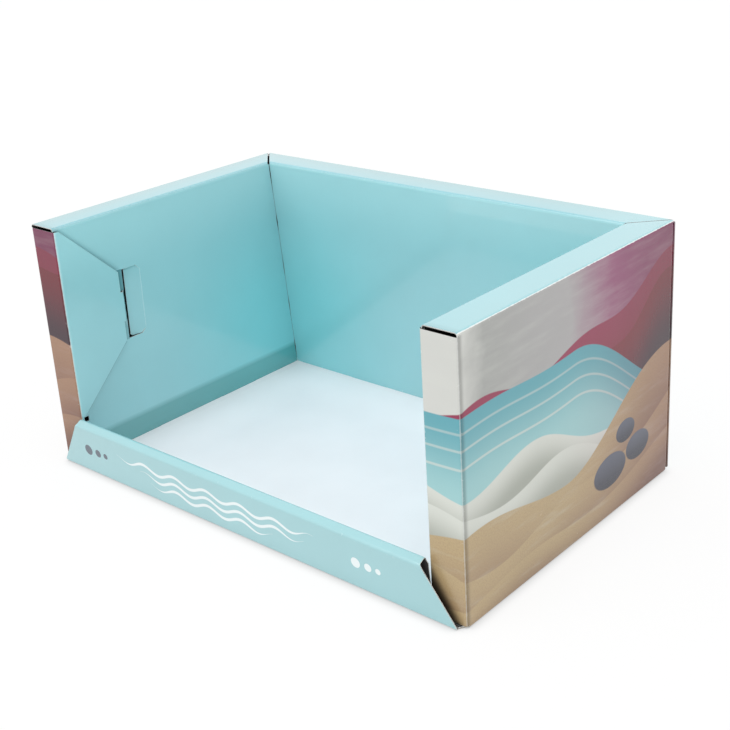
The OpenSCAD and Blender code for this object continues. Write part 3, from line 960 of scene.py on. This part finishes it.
# painted shadows at the lock flaps: a dark line along a flap's lower slope, shade on the panel above the
# upper slope and on the strip between a flap's free end and the window; millimetres
flapShade = {
    "tone": srgb(52, 122, 130),
    "slopeShadow": 0.5, "slopeShadowReach": (0.4, 1.0), "slopeShadowBelow": 0.5, "plySlack": 0.8,
    "upperShadow": 0.3, "upperShadowReach": (-0.5, 6.0), "upperShadowBelow": (-3.0, -2.0), "upperShadowEnd": 3.0,
    "stripStart": 3.0, "stripFade": 1.0, "stripPast": 0.3, "stripFar": 0.7, "stripOver": 0.6,
    "stripTurn": 8.0, "stripFoot": 0.55, "panelSlack": 0.12,
}

# simple marks printed on the lip, in metres
lipMarks = {
    # middle, half length and height of each wave
    "waves": ((-0.022, 0.102, 0.0255), (-0.014, 0.084, 0.0190), (-0.024, 0.064, 0.0125)),
    "length": 0.034, "swing": 0.0024, "thick": 0.0012, "taper": 0.03, "soft": 0.0003,
    # place and radius of each pebble
    "pebbleHeight": 0.0205,
    "palePebbles": ((0.116, 0.0038), (0.1265, 0.003), (0.135, 0.0022)),
    "darkPebbles": ((-0.160, 0.0044), (-0.1485, 0.0033), (-0.1395, 0.0024)),
    "pale": srgb(244, 248, 248), "paleShare": 0.85, "slate": srgb(58, 78, 96), "faceSlack": 0.0004,
}


# painted shadows at the lock flaps: dark line along the lower slope, shade above the upper slope and beside
# the free end
def flapShadows(tree, x, y, z):
    reachX = distance(tree, x)

    # height above a slope of the lock flaps, and the way along it
    def fromSlope(start, end):
        way = (end - start).normalized()
        run = calc(tree, "ADD", y, (middleY - start.x)*mm)
        rise = minus(tree, z, start.y*mm)
        above = calc(tree, "ADD", times(tree, run, -way.y), times(tree, rise, way.x))
        along = calc(tree, "ADD", times(tree, run, way.x), times(tree, rise, way.y))
        return run, above, along

    def fadeMm(value, low, high, toLow=0.0, toHigh=1.0):
        return fade(tree, value, low*mm, high*mm, toLow, toHigh)

    flapEnd = card["flapLength"] - foldOut
    foot, tip = Vector((foldOut + card["toeGap"], card["slopeFoot"])), Vector((card["flapLength"], lockLow))
    run, above, along = fromSlope(foot, tip)
    slopeShadow = times(tree, fadeMm(above, *flapShade["slopeShadowReach"], flapShade["slopeShadow"], 0.0),
                  over(tree, along, 0.0), over(tree, above, -flapShade["slopeShadowBelow"]*mm),
                  under(tree, run, (flapEnd - card["toeGap"])*mm),
                  calc(tree, "COMPARE", reachX, flapX*mm, flapShade["plySlack"]*mm))
    top, tip = Vector((foldOut, pillarTop)), Vector((card["flapLength"], lockHigh))
    run, above, along = fromSlope(top, tip)
    length = (tip - top).length
    upperShadow = times(tree, fadeMm(above, *flapShade["upperShadowReach"], flapShade["upperShadow"], 0.0),
                fadeMm(along, length, length + flapShade["upperShadowEnd"], 1.0, 0.0),
                fadeMm(above, *flapShade["upperShadowBelow"]))
    stripEnd, turn = windowY - foldOut + flapShade["stripPast"], flapShade["stripTurn"]
    stripHalf = card["lockHeight"]/2 + flapShade["stripOver"]
    strip = times(tree, fadeMm(run, flapEnd - flapShade["stripFade"], stripEnd, 1.0, flapShade["stripFar"]),
                  under(tree, run, stripEnd*mm), over(tree, run, (flapEnd - flapShade["stripStart"])*mm),
                  under(tree, distance(tree, z, lockZ*mm), stripHalf*mm),
                  fadeMm(z, lockZ - turn, lockZ + turn, flapShade["stripFoot"], 1.0))
    onPanel = over(tree, reachX, (innerX - flapShade["panelSlack"])*mm)
    return most(tree, times(tree, most(tree, upperShadow, strip), onPanel), slopeShadow)


# inner panels: painted shade, a deeper teal, towards the rear corners, and painted light, paler, under the
# rim
def panelInk(tree, x, y, z):
    inside = under(tree, y, (depth - middleY)*mm - aquaLook["outerPly"])
    toSide, toBack = minus(tree, innerX*mm, distance(tree, x)), minus(tree, (backY(height) - middleY)*mm, y)
    toCorner = most(tree, toSide, toBack)
    deep = times(tree, fade(tree, toCorner, *aquaLook["cornerShadeReach"], 1.0, 0.0),
                 fade(tree, z, *aquaLook["cornerShadeHeight"], 1.0, aquaLook["cornerShadeTop"]), inside)
    ink = blendColour(tree, deep, aquaLook["ink"], aquaLook["cornerShadeInk"])
    high = times(tree, fade(tree, z, *aquaLook["litTopHeight"]), inside)
    return blendColour(tree, high, ink, aquaLook["litTopInk"])


# rim: painted shade, greyer towards its outer edge on the left and at the back, and lighter on the right
def rimPaintedShade(tree, x, y):
    outwards = most(tree, fade(tree, distance(tree, x), innerX*mm, halfW*mm),
                    fade(tree, y, (backY(height) - middleY)*mm, (depth - middleY)*mm))
    grey = blendColour(tree, outwards, aquaLook["rimShadeInner"], aquaLook["rimShadeOuter"])
    toRight = fade(tree, x, *aquaLook["rimTurn"], 1.0, aquaLook["rimRight"])
    return blendColour(tree, toRight, aquaLook["rimInk"], grey)


# waves and pebbles on the face of the lip
def lipPrint(tree, x, y, z, ink):
    face = times(tree, under(tree, y, lipMarks["faceSlack"] - (card["lipOut"] + middleY)*mm),
                 under(tree, z, (card["lipHeight"] - foldOut)*mm))
    marks, soft = 0.0, lipMarks["soft"]
    for middle, half, base in lipMarks["waves"]:
        reach = distance(tree, x, middle)
        turn = calc(tree, "SINE", times(tree, x, math.tau/lipMarks["length"]))
        level = calc(tree, "MULTIPLY_ADD", turn, lipMarks["swing"], base)
        thick = times(tree, fade(tree, reach, half - lipMarks["taper"], half, 1.0, 0.0), lipMarks["thick"])
        strand = fade(tree, minus(tree, thick, distance(tree, minus(tree, z, level))), -soft, soft)
        marks = most(tree, marks, times(tree, strand, under(tree, reach, half)))
    pebble = lambda x0, radius: spot(tree, x, z, x0, lipMarks["pebbleHeight"], radius, radius)
    for place in lipMarks["palePebbles"]:
        marks = most(tree, marks, pebble(*place))
    ink = blendColour(tree, times(tree, marks, face, lipMarks["paleShare"]), ink, lipMarks["pale"])
    for place in lipMarks["darkPebbles"]:
        ink = blendColour(tree, times(tree, pebble(*place), face), ink, lipMarks["slate"])
    return ink


def aquaMaterial():
    m, tree, shader = startMaterial("aqua_print")
    x, y, z = objectPlace(tree)
    topFlat = fade(tree, z, (height - foldOut)*mm, height*mm - aquaLook["topFlat"])
    ink = blendColour(tree, topFlat, panelInk(tree, x, y, z), rimPaintedShade(tree, x, y))
    # painted shade: the lip's face takes a greyer copy of the ink
    ink = blendColour(tree, under(tree, y, -middleY*mm), ink, aquaLook["lipInk"])
    ink = blendColour(tree, flapShadows(tree, x, y, z), ink, flapShade["tone"])
    finishCard(tree, shader, lipPrint(tree, x, y, z, ink), aquaLook)
    return m


# printed scenery in smooth bands round the walls and pillars: sky, hills, lake, pale waves, ground; metres
waveLook = {
    "cream": srgb(206, 207, 202), "haze": srgb(164, 165, 162), "mist": srgb(172, 170, 170),
    "blush": srgb(152, 84, 122), "plum": srgb(132, 48, 96), "hillFar": srgb(146, 40, 76),
    "hillTop": srgb(128, 22, 44), "hillFoot": srgb(60, 28, 46), "lake": srgb(92, 164, 176),
    "lakePale": srgb(156, 202, 204), "pale": srgb(212, 215, 207), "paleShade": srgb(166, 170, 160),
    "ground": srgb(186, 163, 122), "groundDeep": srgb(140, 108, 86), "slate": srgb(88, 92, 108),
    "slateDeep": srgb(46, 48, 62), "paper": srgb(236, 238, 236), "shade": (0.62, 0.62, 0.62, 1), "wear": 1.0,
    "gloss": 0.25, "coat": 0.15, "coatRoughness": 0.12, "bump": 0.25, "bumpDepth": 0.00003,
    "skyStops": ((0.10, "cream"), (0.17, "haze"), (0.48, "mist"), (0.70, "blush")),
    "skyRun": 0.28, "skyStart": 0.09, "skySwirl": 0.16, "softScale": 22,
    "streakScale": 60, "streakStretch": (0.25, 1.6, 1), "streakShare": (0.4, 0.75), "streakPale": 0.2,
    # level, rise to the far end and where it starts; swell, its length and phase; two tones and their reach
    "bands": (
        (0.1430, 0.032, 0.11, 0.0050, 0.110, 0.4, "hillFar", "hillTop", 0.050),
        (0.1180, 0.046, 0.13, 0.0045, 0.080, 2.2, "hillTop", "hillFoot", 0.055),
        (0.1420, -0.070, 0.12, 0.0012, 0.120, 0.0, "lake", "lakePale", 0.055),
        (0.0920, -0.050, 0.08, 0.0060, 0.130, 4.4, "pale", "paleShade", 0.024),
        (0.0740, -0.040, 0.08, 0.0060, 0.150, 2.9, "pale", "paleShade", 0.026),
        (0.0570, 0.050, 0.11, 0.0070, 0.190, 1.0, "ground", "groundDeep", 0.070),
        (0.0350, 0.034, 0.12, 0.0070, 0.170, 3.4, "ground", "groundDeep", 0.050),
        (0.0150, 0.022, 0.10, 0.0050, 0.210, 5.6, "ground", "groundDeep", 0.030),
    ),
    "bandSoft": 0.0005, "farStart": 0.09, "farEnd": 0.27, "farTint": (0.72, 0.54, 0.60, 1),
    "ripples": ((0.010, 0.4), (0.021, 0.5), (0.033, 0.6)), "rippleReach": (0.0003, 0.0013),
    "grainScale": 900, "grainShare": (0.4, 0.7), "grainDeep": 0.25, "duneShare": (0.5, 0.75), "dunePale": 0.2,
    "pebbles": ((0.166, 0.036, 0.021, 0.0125), (0.203, 0.041, 0.016, 0.0105), (0.186, 0.059, 0.0125, 0.0085)),
    "lipShadow": 0.85, "lipShadowReach": (-0.005, 0.004), "lipShadowTop": (-0.002, 0.003),
    "lipShadowFront": 0.001, "lipShadowTone": (0.01, 0.01, 0.01, 1),
}


# ink of one band from its upper edge down; ripples lie on the lake, grain and drifts on the ground
def bandInk(tree, below, topTone, footTone, reach, grain, streak):
    ink = blendColour(tree, fade(tree, below, 0.0, reach), waveLook[topTone], waveLook[footTone])
    if topTone == "lake":
        for drop, strength in waveLook["ripples"]:
            line = fade(tree, distance(tree, below, drop), *waveLook["rippleReach"], strength, 0.0)
            ink = blendColour(tree, line, ink, waveLook["pale"])
    if topTone == "ground":
        specks = fade(tree, grain, *waveLook["grainShare"], 0.0, waveLook["grainDeep"])
        ink = blendColour(tree, specks, ink, waveLook["groundDeep"])
        drifts = fade(tree, streak, *waveLook["duneShare"], 0.0, waveLook["dunePale"])
        ink = blendColour(tree, drifts, ink, waveLook["pale"])
    return ink


# dark behind the slanted ends of the lip
def lipEndShadow(tree):
    x, y, z = objectPlace(tree)
    slant = Vector((lipTopX - lipFootX, card["lipHeight"] - 2*foldOut)).normalized()
    across = times(tree, minus(tree, distance(tree, x), lipFootX*mm), slant.y)
    off = minus(tree, across, times(tree, minus(tree, z, foldOut*mm), slant.x))
    low, high = (card["lipHeight"]*mm + d for d in waveLook["lipShadowTop"])
    return times(tree, fade(tree, off, *waveLook["lipShadowReach"], waveLook["lipShadow"], 0.0),
                 under(tree, y, waveLook["lipShadowFront"] - middleY*mm), fade(tree, z, low, high, 1.0, 0.0))


def waveMaterial():
    m, tree, shader = startMaterial("wave_print")
    uv = addNode(tree, "ShaderNodeUVMap", uv_map="sheet").outputs[0]
    parts = addNode(tree, "ShaderNodeSeparateXYZ")
    feed(tree, parts.inputs[0], uv)
    run, rise = parts.outputs[0], parts.outputs[1]
    soft = noise(tree, uv, waveLook["softScale"], 4, 0.55)
    streak = noise(tree, uv, waveLook["streakScale"], 4, 0.6, waveLook["streakStretch"])
    grain = noise(tree, uv, waveLook["grainScale"], 3, 0.7)
    ramp = addNode(tree, "ShaderNodeValToRGB")
    stops = ramp.color_ramp.elements
    stops[0].color, stops[1].color = waveLook["cream"], waveLook["plum"]
    for place, name in waveLook["skyStops"]:
        stops.new(place).color = waveLook[name]
    sky = calc(tree, "MULTIPLY_ADD", run, 1/waveLook["skyRun"], waveLook["skyStart"])
    feed(tree, ramp.inputs[0], around(tree, sky, soft, waveLook["skySwirl"]))
    clouds = fade(tree, streak, *waveLook["streakShare"], 0.0, waveLook["streakPale"])
    ink = blendColour(tree, clouds, ramp.outputs[0], waveLook["pale"])
    edgeSoft, farEnd = waveLook["bandSoft"], waveLook["farEnd"]
    for level, climb, start, swell, length, phase, topTone, footTone, reach in waveLook["bands"]:
        turn = calc(tree, "SINE", calc(tree, "MULTIPLY_ADD", run, math.tau/length, phase))
        edge = calc(tree, "MULTIPLY_ADD", turn, swell, fade(tree, run, start, farEnd, level, level + climb))
        below = minus(tree, edge, rise)
        band = bandInk(tree, below, topTone, footTone, reach, grain, streak)
        ink = blendColour(tree, fade(tree, below, -edgeSoft, edgeSoft), ink, band)
    far = fade(tree, run, waveLook["farStart"], farEnd)
    ink = blendColour(tree, far, ink, waveLook["farTint"], "MULTIPLY")
    for u0, v0, a, b in waveLook["pebbles"]:
        stone = blendColour(tree, fade(tree, rise, v0 - b, v0 + b), waveLook["slateDeep"], waveLook["slate"])
        ink = blendColour(tree, spot(tree, run, rise, u0, v0, a, b), ink, stone)
    ink = blendColour(tree, lipEndShadow(tree), ink, waveLook["lipShadowTone"])
    finishCard(tree, shader, ink, waveLook)
    return m


# unprinted white side of the card
linerLook = {"ink": srgb(249, 246, 249), "paper": srgb(248, 248, 248), "shade": (0.86, 0.87, 0.88, 1),
             "wear": 0.3, "gloss": 0.42, "bump": 0.2, "bumpDepth": 0.00003}
# painted shade: dark reverse inside the hollow walls, whose white liner lies unlit there
hollowShadeLook = {"ink": srgb(62, 60, 58), "paper": srgb(150, 148, 144), "shade": (1, 1, 1, 1),
              "wear": 0.2, "gloss": 0.7, "bump": 0.3, "bumpDepth": 0.00003}


def linerMaterial(name, look):
    m, tree, shader = startMaterial(name)
    finishCard(tree, shader, look["ink"], look)
    return m


# cut edges: pale liners with the greyish core between them
edgeLook = {"liner": srgb(236, 237, 235), "core": srgb(196, 190, 180), "coreDark": srgb(160, 152, 140),
            "coreReach": (0.2, 0.28), "fibreScale": 900, "fibreShare": (0.3, 0.7),
            "roughness": 0.8, "bump": 0.4, "bumpDepth": 0.00008}


def edgeMaterial():
    m, tree, shader = startMaterial("cut_edge")
    inCore = fade(tree, distance(tree, attribute(tree, "ply"), 0.5), *edgeLook["coreReach"], 1.0, 0.0)
    at = addNode(tree, "ShaderNodeTexCoord").outputs["Object"]
    fibre = noise(tree, at, edgeLook["fibreScale"], 3, 0.6)
    dark = fade(tree, fibre, *edgeLook["fibreShare"])
    core = blendColour(tree, dark, edgeLook["core"], edgeLook["coreDark"])
    feed(tree, shader.inputs["Base Color"], blendColour(tree, inCore, edgeLook["liner"], core))
    shader.inputs["Roughness"].default_value = edgeLook["roughness"]
    addBump(tree, shader, fibre, edgeLook)
    return m


cutEdge = edgeMaterial()
for m in (aquaMaterial(), waveMaterial(), linerMaterial("white_liner", linerLook), cutEdge,
          linerMaterial("hollow_painted_shade", hollowShadeLook)):
    trayMesh.materials.append(m)
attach(cardTray, "root")
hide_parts("folded_tray")
print("materials:", len(trayMesh.materials))

# wavy paper between the liners, seen along the cut edges that cross the flutes; millimetres
coreWave = {"pitch": card["flutePitch"], "step": 0.4, "thick": 0.1, "deep": 0.42, "swing": 0.72}


def coreTree():
    tree = bpy.data.node_groups.new("flutedCore", "GeometryNodeTree")
    face = tree.interface
    face.new_socket("Guides", in_out="INPUT", socket_type="NodeSocketGeometry")
    for label in ("Pitch", "Step", "Thick", "Deep", "Swing"):
        face.new_socket(label, in_out="INPUT", socket_type="NodeSocketFloat")
    face.new_socket("Paper", in_out="INPUT", socket_type="NodeSocketMaterial")
    face.new_socket("Core", in_out="OUTPUT", socket_type="NodeSocketGeometry")
    inp, out = addNode(tree, "NodeGroupInput"), addNode(tree, "NodeGroupOutput")

    def named(name, kind):
        n = addNode(tree, "GeometryNodeInputNamedAttribute", data_type=kind)
        n.inputs["Name"].default_value = name
        return n.outputs["Attribute"]

    curve = addNode(tree, "GeometryNodeMeshToCurve")
    feed(tree, curve.inputs["Mesh"], inp.outputs["Guides"])
    even = addNode(tree, "GeometryNodeResampleCurve", mode="LENGTH")
    feed(tree, even.inputs["Curve"], curve.outputs["Curve"])
    feed(tree, even.inputs["Length"], inp.outputs["Step"])
    lie = addNode(tree, "GeometryNodeSetCurveNormal", mode="FREE")
    feed(tree, lie.inputs["Curve"], even.outputs["Curve"])
    feed(tree, lie.inputs["Normal"], named("into", "FLOAT_VECTOR"))
    turn = calc(tree, "DIVIDE", times(tree, named("across", "FLOAT"), math.tau), inp.outputs["Pitch"])
    swing = times(tree, calc(tree, "SINE", turn), inp.outputs["Swing"])
    shift = addNode(tree, "ShaderNodeVectorMath", operation="SCALE")
    feed(tree, shift.inputs[0], named("through", "FLOAT_VECTOR"))
    feed(tree, shift.inputs["Scale"], swing)
    waved = addNode(tree, "GeometryNodeSetPosition")
    feed(tree, waved.inputs["Geometry"], lie.outputs["Curve"])
    feed(tree, waved.inputs["Offset"], shift.outputs[0])
    section = addNode(tree, "GeometryNodeCurvePrimitiveQuadrilateral")
    feed(tree, section.inputs["Width"], inp.outputs["Deep"])
    feed(tree, section.inputs["Height"], inp.outputs["Thick"])
    sweep = addNode(tree, "GeometryNodeCurveToMesh")
    feed(tree, sweep.inputs["Curve"], waved.outputs["Geometry"])
    feed(tree, sweep.inputs["Profile Curve"], section.outputs["Curve"])
    sweep.inputs["Fill Caps"].default_value = True
    ply = addNode(tree, "GeometryNodeStoreNamedAttribute", data_type="FLOAT", domain="POINT")
    feed(tree, ply.inputs["Geometry"], sweep.outputs["Mesh"])
    ply.inputs["Name"].default_value = "ply"
    ply.inputs["Value"].default_value = 0.5
    real = addNode(tree, "GeometryNodeRealizeInstances")
    feed(tree, real.inputs["Geometry"], ply.outputs["Geometry"])
    paper = addNode(tree, "GeometryNodeSetMaterial")
    feed(tree, paper.inputs["Geometry"], real.outputs["Geometry"])
    feed(tree, paper.inputs["Material"], inp.outputs["Paper"])
    feed(tree, out.inputs["Core"], paper.outputs["Geometry"])
    return tree


def flutedCore(runs):
    guides, bm = bpy.data.meshes.new("core_guides"), bmesh.new()
    layers = bm.verts.layers
    into, through = layers.float_vector.new("into"), layers.float_vector.new("through")
    across = layers.float.new("across")
    for ends in runs:
        pair = []
        for co, inward, half, phase in ends:
            v = bm.verts.new(co)
            v[into], v[through], v[across] = inward.normalized(), half, phase
            pair.append(v)
        bm.edges.new(pair)
    bmesh.ops.remove_doubles(bm, verts=bm.verts, dist=1e-6)
    bm.to_mesh(guides)
    bm.free()
    holder = bpy.data.objects.new("core_guides", guides)
    bpy.context.collection.objects.link(holder)
    modifier = holder.modifiers.new("flutes", "NODES")
    modifier.node_group = coreTree()
    for item in modifier.node_group.interface.items_tree:
        if item.in_out == "INPUT" and item.socket_type == "NodeSocketFloat":
            value = coreWave[item.name.lower()]
            modifier[item.identifier] = value*mm if item.name in ("Step", "Thick", "Deep") else value
        elif item.in_out == "INPUT" and item.name == "Paper":
            modifier[item.identifier] = cutEdge
    made = holder.evaluated_get(bpy.context.evaluated_depsgraph_get())
    mesh = bpy.data.meshes.new_from_object(made)
    mesh.name = "fluted_core"
    holder.modifiers.remove(modifier)
    bpy.data.objects.remove(holder)
    bpy.data.meshes.remove(guides)
    core = bpy.data.objects.new("fluted_core", mesh)
    bpy.context.collection.objects.link(core)
    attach(core, "root")
    print("fluted core:", len(mesh.polygons), "faces")


flutedCore(sheet.coreRuns)

# floor, world and lamps
studio = {
    "floorHalf": 30.0, "floorShade": srgb(240, 240, 240), "floorGlow": 0.86, "contactReach": 0.009,
    "contactDark": 0.44, "worldLight": 0.76,
    # strength, angle in degrees and direction
    "lamps": {"key": (0.6, 50, (0.25, 0.68, -1.0)), "top": (0.98, 30, (-0.08, 0.13, -1))},
}


# 1 where the camera, a reflection or glass sees the surface, 0 where it only gives light
def seenDirectly(tree):
    path = addNode(tree, "ShaderNodeLightPath").outputs
    return most(tree, path["Is Camera Ray"], most(tree, path["Is Glossy Ray"], path["Is Transmission Ray"]))


def makeFloor():
    half = studio["floorHalf"]
    corners = [(-half, -half, 0), (half, -half, 0), (half, half, 0), (-half, half, 0)]
    mesh = bpy.data.meshes.new("floor")
    mesh.from_pydata(corners, [], [(0, 1, 2, 3)])
    floor = bpy.data.objects.new("floor", mesh)
    bpy.context.collection.objects.link(floor)
    m = bpy.data.materials.new("floor")
    m.use_nodes = True
    tree = m.node_tree
    tree.nodes.clear()
    plain = addNode(tree, "ShaderNodeBsdfDiffuse")
    plain.inputs["Color"].default_value = studio["floorShade"]
    glow = addNode(tree, "ShaderNodeEmission")
    # painted contact shadow: the floor's glow dims where ambient occlusion finds the part near by
    contact = addNode(tree, "ShaderNodeAmbientOcclusion")
    contact.inputs["Distance"].default_value = studio["contactReach"]
    bright = fade(tree, contact.outputs["AO"], 0.0, 1.0, 1 - studio["contactDark"], 1.0)
    feed(tree, glow.inputs["Strength"], bright)
    mix = addNode(tree, "ShaderNodeMixShader")
    feed(tree, mix.inputs[0], times(tree, seenDirectly(tree), studio["floorGlow"]))
    feed(tree, mix.inputs[1], plain.outputs[0])
    feed(tree, mix.inputs[2], glow.outputs[0])
    feed(tree, addNode(tree, "ShaderNodeOutputMaterial").inputs[0], mix.outputs[0])
    mesh.materials.append(m)


def makeWorld():
    world = bpy.data.worlds.new("studio")
    bpy.context.scene.world = world
    world.use_nodes = True
    tree = world.node_tree
    back = tree.nodes["Background"]
    back.inputs["Color"].default_value = (1, 1, 1, 1)
    feed(tree, back.inputs["Strength"], fade(tree, seenDirectly(tree), 0.0, 1.0, studio["worldLight"], 1.0))


def sunLamp(name, strength, angle, towards):
    lamp = bpy.data.lights.new(name, "SUN")
    lamp.energy, lamp.angle = strength, math.radians(angle)
    o = bpy.data.objects.new(name, lamp)
    o.rotation_mode = "QUATERNION"
    o.rotation_quaternion = Vector(towards).to_track_quat("-Z", "Y")
    bpy.context.collection.objects.link(o)


makeFloor()
makeWorld()
for name, lamp in studio["lamps"].items():
    sunLamp(name, *lamp)
print("floor, world and lamps")

# camera fitted to the photograph
lens = {"position": (0.59685, -0.50696 - middleY*mm, 0.4565), "forward": (-0.61018, 0.706482, -0.358557),
        "roll": -2.99686, "sensor": 36.0, "focal": 61.976, "shiftX": -0.047352, "shiftY": -0.072394,
        "clip": (0.01, 100)}


def placeCamera():
    data = bpy.data.cameras.new("camera")
    data.sensor_width, data.lens = lens["sensor"], lens["focal"]
    data.shift_x, data.shift_y = lens["shiftX"], lens["shiftY"]
    data.clip_start, data.clip_end = lens["clip"]
    cam = bpy.data.objects.new("camera", data)
    bpy.context.collection.objects.link(cam)
    forward = Vector(lens["forward"]).normalized()
    level = forward.cross(Vector((0, 0, 1))).normalized()
    upright = level.cross(forward)
    roll = math.radians(lens["roll"])
    right = level*math.cos(roll) + upright*math.sin(roll)
    up = right.cross(forward)
    turn = Matrix((right, up, -forward)).transposed()
    cam.matrix_world = Matrix.Translation(lens["position"]) @ turn.to_4x4()
    bpy.context.scene.camera = cam


placeCamera()
bpy.context.scene.view_settings.view_transform = "Standard"
